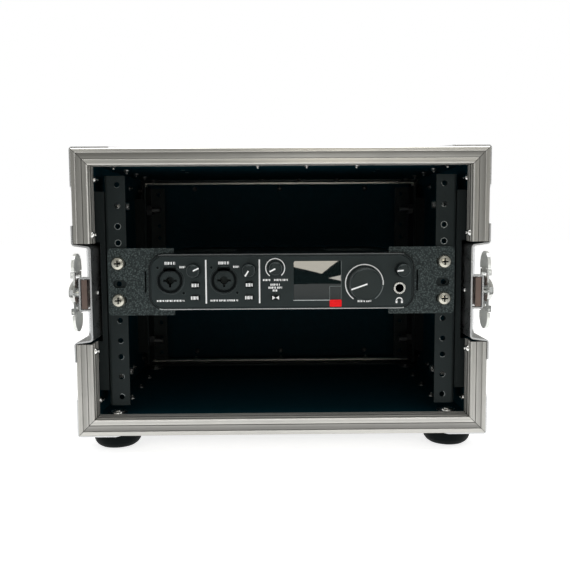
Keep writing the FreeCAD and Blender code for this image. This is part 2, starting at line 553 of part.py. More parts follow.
def handle():
    base_z = MID_Z + HALF_H - PANEL_OUT
    brackets = []
    for sx in (1, -1):
        x0, x1 = sorted((sx * (HANDLE_X - LUG_T / 2 - 1), sx * (HANDLE_X + 18)))
        plate = rounded_face((x1 - x0) / 2, 23, 5,
                             lambda u, v: V((x0 + x1) / 2 + u, HANDLE_Y + v, base_z)).extrude(V(0, 0, 1.5))
        lug_x0 = sx * HANDLE_X - LUG_T / 2
        lug = fuse([box(lug_x0, lug_x0 + LUG_T, HANDLE_Y - 8, HANDLE_Y + 8, base_z, base_z + 4),
                    rod(V(lug_x0, HANDLE_Y, HANDLE_Z), 4.4, LUG_T, X_AXIS)])
        bore = rod(V(lug_x0 - 1, HANDLE_Y, HANDLE_Z), BAIL_R + FIT, LUG_T + 2, X_AXIS)
        solid = fuse([plate, lug]).cut(bore)
        holes = [rod(V(x, y, base_z - 1), 2.0 + FIT, 4, Z_AXIS) for x, y in handle_screw_places()]
        brackets.append(solid.cut(holes))
        for x, y in handle_screw_places():
            if x * sx > 0:
                brackets.append(fuse([dome(V(x, y, base_z + 1.5), 4.0, 1.6, Z_AXIS),
                                      rod(V(x, y, base_z - PANEL_T), 2.0, PANEL_T + 1.5, Z_AXIS)]))
    keep("handle_brackets", *brackets)
    leg_x = HANDLE_X - LUG_T / 2 - BAIL_R - 0.8
    bend = 9.0
    far = HANDLE_Y + HANDLE_REACH
    k = bend * (1 - math.sqrt(0.5))
    path = []
    path.append(Part.LineSegment(V(-leg_x, HANDLE_Y, HANDLE_Z), V(-leg_x, far - bend, HANDLE_Z)))
    path.append(Part.Arc(V(-leg_x, far - bend, HANDLE_Z), V(k - leg_x, far - k, HANDLE_Z),
                         V(bend - leg_x, far, HANDLE_Z)))
    path.append(Part.LineSegment(V(bend - leg_x, far, HANDLE_Z), V(leg_x - bend, far, HANDLE_Z)))
    path.append(Part.Arc(V(leg_x - bend, far, HANDLE_Z), V(leg_x - k, far - k, HANDLE_Z),
                         V(leg_x, far - bend, HANDLE_Z)))
    path.append(Part.LineSegment(V(leg_x, far - bend, HANDLE_Z), V(leg_x, HANDLE_Y, HANDLE_Z)))
    wire = Part.Wire([p.toShape() for p in path])
    ring = Part.Wire([Part.makeCircle(BAIL_R, V(-leg_x, HANDLE_Y, HANDLE_Z), Y_AXIS)])
    bail = wire.makePipeShell([ring], True, False)
    parts = [bail]
    for sx in (1, -1):
        parts.append(Part.makeSphere(BAIL_R, V(sx * leg_x, HANDLE_Y, HANDLE_Z)))
        parts.append(rod(V(sx * leg_x, HANDLE_Y, HANDLE_Z), BAIL_R,
                         HANDLE_X + LUG_T / 2 + 0.6 - leg_x, V(sx, 0, 0)))
    keep("handle_bail", fuse(parts))
    grip_x = leg_x - bend - 3
    outline = [(BAIL_R, -grip_x), (GRIP_R - 0.8, -grip_x), (GRIP_R, 1.5 - grip_x),
               (GRIP_R, grip_x - 1.5), (GRIP_R - 0.8, grip_x), (BAIL_R, grip_x)]
    grip = turned(outline, V(0, far, HANDLE_Z), X_AXIS)
    keep("handle_grip", grip)


# ---- rear lid -----------------------------------------------------------------------------
LID_FLANGE_Y, LID_WELL_Y = 40.0, 30.0
LID_ANGLE = 25.0
BALL_R, BALL_IN, BALL_PLATE = 12.0, 10.0, 32.0


def lid_angle_ring():
    """Mitred outside angles round the lid's rear edges."""
    leg_y = LID_REAR - REAR - 28.4
    profile = [(0, 0), (LID_ANGLE, 0), (LID_ANGLE, LEG_T), (LEG_T, LEG_T), (LEG_T, leg_y), (0, leg_y)]
    reach = LID_ANGLE + 1
    sides = []
    for sign in (1, -1):
        edge, low = MID_Z + sign * HALF_H, MID_Z + sign * (HALF_H - reach)
        pts = [V(-CASE_W, LID_REAR - d, MID_Z + sign * (HALF_H - n)) for n, d in profile]
        wedge = prism([V(-HALF_W, 0, edge), V(HALF_W, 0, edge), V(HALF_W - reach, 0, low),
                       V(reach - HALF_W, 0, low)], V(0, 400, 0))
        sides.append(prism(pts, V(2 * CASE_W, 0, 0)).common(wedge))
        pts = [V(sign * (HALF_W - n), LID_REAR - d, MID_Z - CASE_H) for n, d in profile]
        wedge = prism([V(sign * HALF_W, 0, MID_Z - HALF_H), V(sign * HALF_W, 0, MID_Z + HALF_H),
                       V(sign * (HALF_W - reach), 0, MID_Z + HALF_H - reach),
                       V(sign * (HALF_W - reach), 0, MID_Z - HALF_H + reach)], V(0, 400, 0))
        sides.append(prism(pts, V(0, 0, 2 * CASE_H)).common(wedge))
    return sides


def ball_corner():
    """Domed steel corner at the lid's upper right rear corner."""
    corner = V(HALF_W, LID_REAR, MID_Z + HALF_H)
    plates = Part.makeBox(BALL_PLATE + BRACE_T, BALL_PLATE + BRACE_T - 16, BALL_PLATE + BRACE_T,
                          corner - V(BALL_PLATE, BALL_PLATE - 16, BALL_PLATE))
    ball = Part.makeSphere(BALL_R, corner - V(BALL_IN, BALL_IN, BALL_IN))
    inside = box(-HALF_W, HALF_W, 0, LID_REAR, MID_Z - HALF_H, MID_Z + HALF_H)
    return plates.fuse(ball).cut(inside).removeSplitter()


def lid_rivet_rows():
    for sx in (1, -1):
        for sz in (1, -1):
            lid_rivets.add(V(sx * (HALF_W - 24), LID_REAR + BRACE_T, MID_Z + sz * (HALF_H - 24)),
                           Y_AXIS * -1, PANEL_IN + BRACE_T)
            lid_rivets.add(V(sx * (HALF_W + SHEET), REAR + 8.0, MID_Z + sz * DISH_RIVET_Z),
                           V(-sx, 0, 0), FRAME_T + SHEET)
    for sz in (1, -1):
        for x in (-95.0, 0.0, 95.0):
            lid_rivets.add(V(x, REAR + 21.0, MID_Z + sz * HALF_H), V(0, 0, -sz), PANEL_IN)
            lid_rivets.add(V(x, LID_REAR, MID_Z + sz * (HALF_H - 17)), Y_AXIS * -1, PANEL_IN)
    for sx in (1, -1):
        for z in (-45.0, 0.0, 45.0):
            lid_rivets.add(V(sx * (HALF_W - 17), LID_REAR, MID_Z + z), Y_AXIS * -1, PANEL_IN)


def lid():
    well = box(HALF_W - FRAME_T - 3, HALF_W + 1, REAR - 5, REAR + LID_WELL_Y + 0.3,
               MID_Z - CUT_Z - 0.3, MID_Z + CUT_Z + 0.3)
    wells = [well, flip_x(well)]
    inner, outer = HALF_H - PANEL_IN, HALF_H - PANEL_OUT
    keep("lid_valance", *[lid_rivets.drill(s).cut(wells) for s in mitred_ring(lid_profile(), REAR, 1)])
    keep("lid_angles", *[lid_rivets.drill(s).cut(wells) for s in lid_angle_ring()])
    y0, y1 = REAR + 4.2, LID_REAR - PANEL_IN
    strip = box(PANEL_OUT - HALF_W, HALF_W - PANEL_OUT, y0, y1, MID_Z + inner, MID_Z + outer)
    flank = box(HALF_W - PANEL_IN, HALF_W - PANEL_OUT, y0, y1, MID_Z - inner, MID_Z + inner)
    back = box(PANEL_OUT - HALF_W, HALF_W - PANEL_OUT, y1, LID_REAR - PANEL_OUT,
               MID_Z - outer, MID_Z + outer)
    boards = [strip, flip_z(strip), flank, flip_x(flank), back]
    keep("lid_panels", *[lid_rivets.drill(b).cut(wells) for b in boards])
    keep("lid_ball_corners", *[lid_rivets.drill(b) for b in four(ball_corner())])
    pan = dish(REAR, LID_FLANGE_Y, LID_WELL_Y)
    trim = box(0, 200, REAR - 1, REAR + 0.4, 0, 400)
    pan = lid_rivets.drill(pan.cut(trim))
    keeper = bridge(REAR + 3, REAR + 16)
    keep("lid_keepers", *[m(s) for s in (pan, keeper) for m in (lambda q: q, flip_x)])
    keep("lid_rivets", *lid_rivets.solids)


# ---- rack-mounted audio interface -----------------------------------------------------------
SLEEVE_W, SLEEVE_H, SLEEVE_R = 204.0, 43.0, 11.0
FACE_W, FACE_H, FACE_R, FACE_T = 200.6, 39.6, 9.3, 2.5
FACE_PROUD = 1.2                       # faceplate in front of the sleeve's rim
UNIT_Z = MID_Z + UNIT_U * 2 - UNIT_HOLES[2] - UNIT_U + 1.6
FACE_Y = RAIL_Y - 8.0
UNIT_D = 160.0
EAR_T, EAR_W, EAR_H = 2.0, 268.0, 52.0
SCREW_HOLES = (4, 6)                    # rail holes that carry the ears, top hole is 0
JACK_X, JACK_Z = (-85.4, -44.1), 1.3    # input sockets, from the face's centre
GAIN_X, GAIN_Z = (-67.1, -25.0), 9.0
KNOB_R, KNOB_H = 5.6, 7.5
BUTTONS = {"button_phantom_1": (-66.1, -2.3, 5.9, 4.6), "button_phantom_2": (-24.8, -2.3, 5.9, 4.6),
           "button_pad_1": (-66.1, -12.0, 6.1, 3.4), "button_pad_2": (-24.8, -12.0, 6.1, 3.4),
           "button_stereo": (-4.7, -12.2, 6.1, 3.4)}
MIX_X, MIX_Z = -4.7, 10.4
MONITOR_X, MONITOR_Z, MONITOR_R, MONITOR_H = 63.6, -1.8, 13.0, 9.5
PHONES_X, PHONES_Z = 92.3, 8.5
SOCKET_X, SOCKET_Z, SOCKET_R = 90.2, -5.5, 4.6
DISPLAY = (27.4, 0.75, 36.6, 29.9)      # centre x, z, width, height


def knob(x, z, radius, height):
    """Turned knob with a pointer groove; its shaft passes through the face."""
    z = UNIT_Z + z
    gap = 0.4
    out = height + gap
    body = turned([(0, gap), (radius, gap), (radius, gap + 1.2), (radius - 0.5, gap + 2.0),
                   (radius - 1.0, out - 0.9), (radius - 1.9, out), (0, out)], V(x, FACE_Y, z), V(0, -1, 0))
    shaft = rod(V(x, FACE_Y - gap - 1, z), 2.0, FACE_T + gap + 4, Y_AXIS)
    groove = box(x - 0.4, x + 0.4, FACE_Y - out - 1, FACE_Y - out + 0.5, z + radius * 0.25, z + radius + 1)
    return body.fuse(shaft).cut(groove).removeSplitter()


def front_controls():
    """Knobs, buttons and sockets; returns the tools that pierce the face."""
    piercings = []
    knobs = {"knob_gain_1": (GAIN_X[0], GAIN_Z, KNOB_R, KNOB_H, -65),
             "knob_gain_2": (GAIN_X[1], GAIN_Z, KNOB_R, KNOB_H, 147),
             "knob_mix": (MIX_X, MIX_Z, KNOB_R, KNOB_H, 117),
             "knob_phones": (PHONES_X, PHONES_Z, KNOB_R, KNOB_H, 96),
             "knob_monitor": (MONITOR_X, MONITOR_Z, MONITOR_R, MONITOR_H, 109)}
    for name, (x, z, radius, height, turn) in knobs.items():
        shape = knob(x, z, radius, height)
        shape.rotate(V(x, 0, UNIT_Z + z), V(0, -1, 0), turn)
        keep(name, shape)
        piercings.append(rod(V(x, FACE_Y - 1, UNIT_Z + z), 2.0 + FIT, 8, Y_AXIS))
    for name, (x, z, w, h) in BUTTONS.items():
        cap = rounded_plate(x, UNIT_Z + z, w, h, 1.0, FACE_Y - 1.6, FACE_Y + FACE_T + 0.6)
        flange = rounded_plate(x, UNIT_Z + z, w + 1.6, h + 1.6, 1.0,
                               FACE_Y + FACE_T + 0.1, FACE_Y + FACE_T + 0.9)
        keep(name, fuse([cap, flange]))
        piercings.append(rounded_plate(x, UNIT_Z + z, w + 0.5, h + 0.5, 1.2, FACE_Y - 1, FACE_Y + 8))
    sockets = []
    for x in JACK_X:
        place = V(x, FACE_Y, UNIT_Z + JACK_Z)
        outline = [(0, 13), (9.6, 13), (9.6, 0), (10.7, 0), (10.7, -0.5), (10.4, -0.8), (9.9, -0.8),
                   (9.6, -0.5), (9.6, 3.0), (8.0, 3.0), (8.0, 0.2), (7.6, -0.2), (0, -0.2)]
        shell = turned(outline, place, Y_AXIS)
        arms = [box(x - 5.2, x + 5.2, FACE_Y - 1, FACE_Y + 10, place.z - 0.8, place.z + 0.8),
                box(x - 0.8, x + 0.8, FACE_Y - 1, FACE_Y + 10, place.z - 5.2, place.z)]
        key = box(x - 5.0, x + 5.0, FACE_Y - 1, FACE_Y + 3.0, place.z + 6.9, place.z + 9.2)
        sockets.append(shell.cut([rod(place - Y_AXIS, 3.1, 11, Y_AXIS), key] + arms))
        piercings.append(rod(place - Y_AXIS, 9.6 + FIT, 8, Y_AXIS))
    place = V(SOCKET_X, FACE_Y, UNIT_Z + SOCKET_Z)
    sockets.append(turned([(3.2, 14), (4.0, 14), (4.0, 0), (SOCKET_R, 0), (SOCKET_R, -0.9),
                           (SOCKET_R - 0.5, -1.4), (3.6, -1.4), (3.2, -0.9)], place, Y_AXIS))
    keep("panel_sockets", *sockets)
    piercings.append(rod(place - Y_AXIS, 4.0 + FIT, 8, Y_AXIS))
    return piercings


def audio_unit():
    x, z, w, h = DISPLAY
    piercings = front_controls()
    face = rounded_plate(0, UNIT_Z, FACE_W, FACE_H, FACE_R, FACE_Y, FACE_Y + FACE_T)
    edge = [e for e in face.Edges if abs(e.CenterOfMass.y - FACE_Y) < 0.01]
    face = face.makeChamfer(0.8, edge)
    pocket = rounded_plate(x, UNIT_Z + z, w, h, 1.5, FACE_Y - 1, FACE_Y + 1.2)
    keep("unit_faceplate", face.cut([pocket] + piercings))
    keep("display_window", rounded_plate(x, UNIT_Z + z, w - 0.2, h - 0.2, 1.4, FACE_Y + 0.1, FACE_Y + 1.2))
    y0, y1 = FACE_Y + FACE_PROUD, FACE_Y + UNIT_D
    shell = rounded_plate(0, UNIT_Z, SLEEVE_W, SLEEVE_H, SLEEVE_R, y0, y1)
    rim = [e for e in shell.Edges if abs(e.CenterOfMass.y - y0) < 0.01]
    shell = shell.makeFillet(0.8, rim)
    room = rounded_plate(0, UNIT_Z, FACE_W + 0.4, FACE_H + 0.4, FACE_R + 0.2, y0 - 1, y1 - 1.5)
    slots = [box(sx * 60 - 22, sx * 60 + 22, y0 + 50 + i * 7, y0 + 53 + i * 7, UNIT_Z + 10, UNIT_Z + 30)
             for sx in (1, -1) for i in range(8)]
    keep("unit_chassis", shell.cut([room] + slots))


def rack_ear():
    """Right ear: slotted plate, two arms round the unit and a side flange."""
    y0, y1 = RAIL_Y - EAR_T, RAIL_Y
    plate = box(83.0, EAR_W / 2, y0, y1, UNIT_Z - EAR_H / 2, UNIT_Z + EAR_H / 2)
    ends = [e for e in plate.Edges if abs(e.Length - EAR_T) < 0.01 and e.CenterOfMass.x > 100]
    plate = plate.makeFillet(3.0, ends)
    window = rounded_plate(0, UNIT_Z, SLEEVE_W + 0.8, SLEEVE_H + 0.8, SLEEVE_R + 0.4, y0 - 1, y1 + 1)
    flange = box(SLEEVE_W / 2 + 0.5, SLEEVE_W / 2 + 2.3, y1 - 0.5, y1 + 70, UNIT_Z - 15, UNIT_Z + 15)
    solid = plate.cut(window).fuse(flange)
    heights = hole_heights()
    cuts = [rounded_plate(HOLE_X - 1.0, heights[i], 10.4, 6.2, 3.0, y0 - 1, y1 + 1) for i in (4, 5, 6)]
    cuts.append(box(SLEEVE_W / 2 + 2.5, SLEEVE_W / 2 + 3.8, y0 - 1, y1 + 1, UNIT_Z - 8.3, UNIT_Z + 8.3))
    return solid.cut(cuts).removeSplitter()


def rack_screw(x, z):
    """Pan-head screw with a cross recess."""
    seat = RAIL_Y - EAR_T
    outline = [(0, 0), (5.2, 0), (5.2, 1.0), (4.4, 2.4), (2.6, 3.2), (0, 3.4)]
    head = turned(outline, V(x, seat, z), V(0, -1, 0))
    shank = rod(V(x, seat, z), HOLE_R - FIT, 16, Y_AXIS)
    cross = [box(x - a, x + a, seat - 4, seat - 1.6, z - b, z + b) for a, b in ((2.6, 0.55), (0.55, 2.6))]
    return head.fuse(shank).cut(cross).removeSplitter()


def ears():
    right = rack_ear()
    keep("rack_ear_right", right)
    keep("rack_ear_left", flip_x(right))
    heights = hole_heights()
    keep("rack_screws", *[rack_screw(sx * HOLE_X, heights[i]) for sx in (1, -1) for i in SCREW_HOLES])


body_rivet_rows()
latch_rivets()
lid_rivet_rows()
latches()
case_body()
feet()
rails()
handle()
lid()
audio_unit()
ears()

os.makedirs("parts", exist_ok=True)
for node_name, node_shape in nodes.items():
    node_shape.exportStep("parts/" + node_name + ".step")
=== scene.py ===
import math

import bmesh
import bpy
from mathutils import Matrix, Vector


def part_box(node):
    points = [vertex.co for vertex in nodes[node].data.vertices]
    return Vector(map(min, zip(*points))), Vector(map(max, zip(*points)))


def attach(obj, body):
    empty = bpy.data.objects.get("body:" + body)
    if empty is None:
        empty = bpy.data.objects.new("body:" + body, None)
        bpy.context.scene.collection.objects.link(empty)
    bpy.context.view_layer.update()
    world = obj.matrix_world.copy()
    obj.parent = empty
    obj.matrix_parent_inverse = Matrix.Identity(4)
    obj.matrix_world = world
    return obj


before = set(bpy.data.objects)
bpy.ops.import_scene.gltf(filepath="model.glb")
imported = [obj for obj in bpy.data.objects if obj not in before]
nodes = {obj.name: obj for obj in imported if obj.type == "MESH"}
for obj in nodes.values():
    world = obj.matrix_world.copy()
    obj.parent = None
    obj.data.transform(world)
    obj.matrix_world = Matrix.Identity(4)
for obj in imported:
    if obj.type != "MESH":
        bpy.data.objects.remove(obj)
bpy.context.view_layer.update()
MM = 0.001


# ---- places, all from the CAD -------------------------------------------------------------
def front_of(name):
    """The middle of a node's front."""
    lo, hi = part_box(name)
    return Vector(((lo.x + hi.x) / 2, lo.y, (lo.z + hi.z) / 2))


FACE = front_of("unit_faceplate")
RING_LO, RING_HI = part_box("front_valance")
MID_Z = (RING_LO.z + RING_HI.z) / 2
HALF_W = (RING_HI.x - RING_LO.x) / 2
HALF_H = (RING_HI.z - RING_LO.z) / 2


# ---- shader graphs ------------------------------------------------------------------------
class Graph:
    """One material's node graph, made by short calls that return output sockets."""

    def __init__(self, name):
        self.mat = bpy.data.materials.new(name)
        self.mat.use_nodes = True
        self.tree = self.mat.node_tree
        self.bsdf = self.tree.nodes["Principled BSDF"]
        self.at = self.node("TexCoord").outputs["Object"]

    def node(self, kind, settings=None, **inputs):
        made = self.tree.nodes.new("ShaderNode" + kind)
        for key, value in (settings or {}).items():
            setattr(made, key, value)
        for key, value in inputs.items():
            self.put(made.inputs[key.replace("_", " ")], value)
        return made

    def put(self, socket, value):
        if isinstance(value, bpy.types.NodeSocket):
            self.tree.links.new(value, socket)
        elif socket.type == "RGBA" and len(value) == 3:
            socket.default_value = (*value, 1.0)
        else:
            socket.default_value = value

    def scaled(self, x, y, z):
        """Object position stretched by a factor along each axis."""
        return self.node("Mapping", Vector=self.at, Scale=(x, y, z)).outputs[0]

    def noise(self, scale, detail=3.0, rough=0.55, at=None, warp=0.0):
        return self.node("TexNoise", Vector=at or self.at, Scale=scale, Detail=detail,
                         Roughness=rough, Distortion=warp).outputs[0]

    def cells(self, scale, feature="F1", at=None):
        made = self.node("TexVoronoi", {"feature": feature}, Vector=at or self.at, Scale=scale)
        return made.outputs[0]

    def math(self, operation, a, b=0.0):
        made = self.node("Math", {"operation": operation})
        self.put(made.inputs[0], a)
        self.put(made.inputs[1], b)
        return made.outputs[0]

    def spread(self, value, low, high, from_low=0.3, from_high=0.7):
        made = self.node("MapRange", Value=value, From_Min=from_low, From_Max=from_high,
                         To_Min=low, To_Max=high)
        return made.outputs[0]

    def ramp(self, value, *stops):
        made = self.node("ValToRGB", Fac=value)
        points = made.color_ramp.elements
        while len(points) < len(stops):
            points.new(0.5)
        for point, (place, colour) in zip(points, stops):
            point.position = place
            point.color = (*colour, 1.0)
        return made.outputs[0]

    def mix(self, factor, a, b):
        made = self.node("Mix", {"data_type": "RGBA"})
        self.put(made.inputs[0], factor)
        self.put(made.inputs[6], a)
        self.put(made.inputs[7], b)
        return made.outputs[2]

    def blend(self, factor, a, b):
        made = self.node("Mix")
        self.put(made.inputs[0], factor)
        self.put(made.inputs[2], a)
        self.put(made.inputs[3], b)
        return made.outputs[0]

    def times(self, colour, shade):
        """A colour made darker by a grey value."""
        made = self.node("VectorMath", {"operation": "SCALE"})
        self.put(made.inputs[0], colour)
        self.put(made.inputs["Scale"], shade)
        return made.outputs[0]

    def shades(self, distance, stops):
        """Grey value at a distance, from (millimetres, grey) stops."""
        reach = stops[-1][0]
        along = self.math("DIVIDE", distance, reach * MM)
        return self.ramp(along, *[(at / reach, (grey,) * 3) for at, grey in stops])

    def part(self, axis):
        return self.node("SeparateXYZ", Vector=self.at).outputs[axis]

    def insets(self):
        """How far in from the nearer side, and from the nearer of top and bottom."""
        flank = self.math("SUBTRACT", HALF_W, self.math("ABSOLUTE", self.part(0)))
        rise = self.math("SUBTRACT", self.part(2), MID_Z)
        deck = self.math("SUBTRACT", HALF_H, self.math("ABSOLUTE", rise))
        return flank, deck

    def inside(self):
        """One inside the closed case, zero on its outer skin and on the back of the lid."""
        behind = self.math("SUBTRACT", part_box("lid_panels")[1].y, self.part(1))
        cover = self.math("MINIMUM", behind, self.math("MINIMUM", *self.insets()))
        return self.math("GREATER_THAN", cover, INSIDE_SKIN * MM)

    def bump(self, height, depth_mm, under=None):
        made = self.node("Bump", Height=height, Strength=1.0, Distance=depth_mm * MM)
        if under:
            self.put(made.inputs["Normal"], under)
        return made.outputs[0]

    def finish(self, **inputs):
        for key, value in inputs.items():
            self.put(self.bsdf.inputs[key.replace("_", " ")], value)
        return self.mat


# How bright the frame is drawn across the face of its level and its upright bars, and across
# the depth of its lip, as (millimetres, grey). Part of these values is painted light and shade
# rather than the metal's own colour.
DECK_SHADES = ((0.0, 0.85), (0.5, 1.0), (3.1, 1.0), (3.3, 0.42), (3.9, 0.39), (5.4, 0.41),
               (7.7, 0.56), (8.0, 0.34), (8.4, 1.0), (10.2, 0.92), (10.35, 0.5), (10.5, 0.92),
               (12.2, 1.0))
UPRIGHT_SHADES = ((0.0, 0.60), (0.5, 0.66), (3.1, 0.66), (3.3, 0.50), (3.9, 0.48), (5.4, 0.51),
                  (7.7, 0.59), (8.0, 0.34), (8.4, 0.67), (10.2, 0.63), (10.35, 0.41), (10.5, 0.63),
                  (12.2, 0.67))
LIP_SHADES = ((0.0, 1.0), (2.9, 1.0), (3.2, 0.14), (4.6, 0.12), (4.9, 0.95), (8.2, 0.95),
              (8.6, 0.12), (10.6, 0.12), (10.9, 1.0), (13.3, 1.0), (13.6, 0.2), (14.8, 0.2),
              (15.1, 1.0), (17.5, 0.9))
# Painted light and shade: the upper bar is drawn brighter and the lower bar darker.
LEVEL_BARS = (1.12, 0.80)   # factors for the upper and the lower bar
FRAME_FACE = 12.0           # further in than this is the lip
INSIDE_SKIN = 6.0           # deeper than this, panels and the rear frame show their inside faces
MITRE_LINE = 0.28           # half the dark line where two bars meet
MITRE_SHADE = 0.3
LIP_DULLNESS = 0.3          # added to the lip's roughness


def brushed(name, tint, along, rough=(0.26, 0.4), depth=0.006, grooved=False, inner=None):
    """Brushed aluminium. The lines run along x, y or z, or round a frame's mitred bars.

    A grooved frame has painted light and shade across its ribs, groove and lip. Its inside
    faces can be darkened by a factor of their own, a painted shade.
    """
    g = Graph(name)
    fine, slow = 2600.0, 14.0
    streaks = {
        "x": (slow, fine, fine),
        "y": (fine, slow, fine),
        "z": (fine, fine, slow),
    }
    if along == "ring":
        flank, deck = g.insets()
        upright = g.math("LESS_THAN", flank, deck)
        lines = g.blend(upright, g.noise(1.0, 4.0, 0.6, g.scaled(*streaks["x"])),
                        g.noise(1.0, 4.0, 0.6, g.scaled(*streaks["z"])))
        broad = g.blend(upright, g.noise(1.0, 2.0, 0.5, g.scaled(6, 420, 420)),
                        g.noise(1.0, 2.0, 0.5, g.scaled(420, 420, 6)))
    else:
        lines = g.noise(1.0, 4.0, 0.6, g.scaled(*streaks[along]))
        broad = g.noise(1.0, 2.0, 0.5, g.scaled(*[6 if a == along else 420 for a in "xyz"]))
    smudge = g.noise(34.0, 4.0, 0.6, warp=0.6)
    worn = g.math("ADD", g.math("MULTIPLY", lines, 0.6), g.math("MULTIPLY", smudge, 0.4))
    dark = tuple(c * 0.86 for c in tint)
    colour = g.mix(g.spread(broad, 0.0, 1.0), dark, tint)
    colour = g.mix(g.spread(smudge, 0.0, 0.22, 0.45, 0.75), colour, tuple(c * 0.7 for c in tint))
    if grooved:
        inset = g.math("MINIMUM", flank, deck)
        level = g.blend(g.math("LESS_THAN", g.part(2), MID_Z), *LEVEL_BARS)
        level = g.math("MULTIPLY", g.shades(inset, DECK_SHADES), level)
        face_shade = g.blend(upright, level, g.shades(inset, UPRIGHT_SHADES))
        lip_shade = g.shades(g.math("SUBTRACT", g.part(1), RING_LO.y), LIP_SHADES)
        on_lip = g.math("GREATER_THAN", inset, FRAME_FACE * MM)
        shade = g.blend(on_lip, face_shade, lip_shade)
        corner = g.math("ABSOLUTE", g.math("SUBTRACT", flank, deck))
        seam = g.math("LESS_THAN", corner, MITRE_LINE * MM)
        shade = g.math("MULTIPLY", shade, g.blend(seam, 1.0, MITRE_SHADE))
        colour = g.times(colour, shade)
    # Painted shade: the inside faces are multiplied by the darkening factor inner.
    if inner:
        shaded = g.node("VectorMath", {"operation": "MULTIPLY"}, Vector=colour)
        shaded.inputs[1].default_value = inner
        colour = g.mix(g.math("GREATER_THAN", inset, INSIDE_SKIN * MM), colour, shaded.outputs[0])
    gloss = g.spread(worn, *rough)
    if grooved:
        gloss = g.math("ADD", gloss, g.math("MULTIPLY", on_lip, LIP_DULLNESS))
    return g.finish(Base_Color=colour, Metallic=1.0, Roughness=gloss,
                    Normal=g.bump(lines, depth, g.bump(broad, depth * 0.8)))


def metal(name, tint, rough, grain=900.0, depth=0.004, stain=0.2, metallic=1.0):
    """Plated or bare metal with a fine grain and a few darker stains."""
    g = Graph(name)
    fine = g.noise(grain, 3.0, 0.6)
    patch = g.noise(90.0, 4.0, 0.6, warp=0.8)
    colour = g.mix(g.spread(patch, 0.0, stain), tint, tuple(c * 0.6 for c in tint))
    amount = g.math("ADD", g.math("MULTIPLY", fine, 0.5), g.math("MULTIPLY", patch, 0.5))
    return g.finish(Base_Color=colour, Metallic=metallic,
                    Roughness=g.spread(amount, *rough, 0.35, 0.65), Normal=g.bump(fine, depth))


DEEP_FROM, DEEP_TO = 30.0, 90.0     # millimetres behind the face over which the tails are drawn dark, a painted shade, and rough


def rivet_plate():
    """Bright plated rivets. The tails deep inside the case are drawn dark, a painted shade, and
    rougher.
    """
    g = Graph("rivet_plate")
    fine = g.noise(900.0, 3.0, 0.6)
    patch = g.noise(90.0, 4.0, 0.6, warp=0.8)
    inside = g.inside()
    deep = g.spread(g.part(1), 0.0, 0.86, RING_LO.y + DEEP_FROM * MM, RING_LO.y + DEEP_TO * MM)
    inside_weight = g.math("MULTIPLY", inside, deep)
    colour = g.mix(g.spread(patch, 0.0, 0.2), (0.96, 0.96, 0.94), (0.58, 0.58, 0.56))
    gloss = g.spread(g.math("ADD", fine, patch), 0.16, 0.32, 0.7, 1.3)
    gloss = g.math("ADD", gloss, g.math("MULTIPLY", inside_weight, 0.3))
    # Painted shade: the deep tails are mixed towards near-black.
    return g.finish(Base_Color=g.mix(inside_weight, colour, (0.030, 0.036, 0.037)), Metallic=1.0,
                    Roughness=gloss, Normal=g.bump(fine, 0.004))


COLD = (0.84, 0.98, 1.0)    # tint of the reflection of every black finish


def coated(name, low, high, rough, grain, depth, metallic=0.0, specular=0.5, tint=COLD):
    """Paint, powder coat or plastic: a fine grain in colour, gloss and height."""
    g = Graph(name)
    fine = g.noise(grain, 3.0, 0.55)
    patch = g.noise(60.0, 3.0, 0.6, warp=0.5)
    both = g.math("ADD", g.math("MULTIPLY", fine, 0.5), g.math("MULTIPLY", patch, 0.5))
    colour = g.mix(g.spread(both, 0.0, 1.0, 0.35, 0.65), low, high)
    return g.finish(Base_Color=colour, Metallic=metallic,
                    Roughness=g.spread(both, *rough, 0.35, 0.65), Specular_IOR_Level=specular,
                    Specular_Tint=tint, Normal=g.bump(fine, depth))


def laminate():
    """Glossy black laminate over plywood, with a faint orange peel and rub marks.

    Inside the case the skin is drawn duller, and navy as a painted shade colour, not the laminate's
    own black.
    """
    g = Graph("laminate_black")
    peel = g.noise(420.0, 2.0, 0.5)
    sag = g.noise(28.0, 2.0, 0.5)
    rub = g.noise(70.0, 5.0, 0.65, warp=1.2)
    rubbed = g.spread(rub, 0.0, 1.0, 0.4, 0.75)
    outer = g.mix(rubbed, (0.0030, 0.0048, 0.0054), (0.0050, 0.0072, 0.0080))
    # Painted shade colour: the navy drawn on the inside of the case.
    inner = g.mix(rubbed, (0.0006, 0.025, 0.037), (0.0026, 0.033, 0.047))
    inside = g.inside()
    inside_weight = g.math("MULTIPLY", inside, 0.35)
    gloss = g.math("ADD", g.spread(rub, 0.26, 0.40, 0.4, 0.75), inside_weight)
    return g.finish(Base_Color=g.mix(inside, outer, inner), Roughness=gloss,
                    Specular_IOR_Level=0.1, Specular_Tint=COLD,
                    Normal=g.bump(peel, 0.004, g.bump(sag, 0.06)))


def stained_wood():
    """Black stained spacer board: long grain up the board, paler where the stain is thin."""
    g = Graph("stained_wood")
    wander = g.noise(9.0, 2.0, 0.5)
    grain = g.noise(1.0, 5.0, 0.65, g.scaled(900, 500, 16), warp=0.5)
    pores = g.cells(1.0, at=g.scaled(2200, 1500, 60))
    both = g.math("ADD", g.math("MULTIPLY", grain, 0.75), g.math("MULTIPLY", wander, 0.25))
    colour = g.ramp(both, (0.30, (0.0018, 0.0032, 0.0034)), (0.55, (0.0048, 0.0068, 0.0070)),
                    (0.75, (0.018, 0.020, 0.019)))
    return g.finish(Base_Color=colour, Roughness=g.spread(both, 0.5, 0.75),
                    Specular_IOR_Level=0.25, Specular_Tint=COLD,
                    Normal=g.bump(grain, 0.06, g.bump(pores, 0.03)))


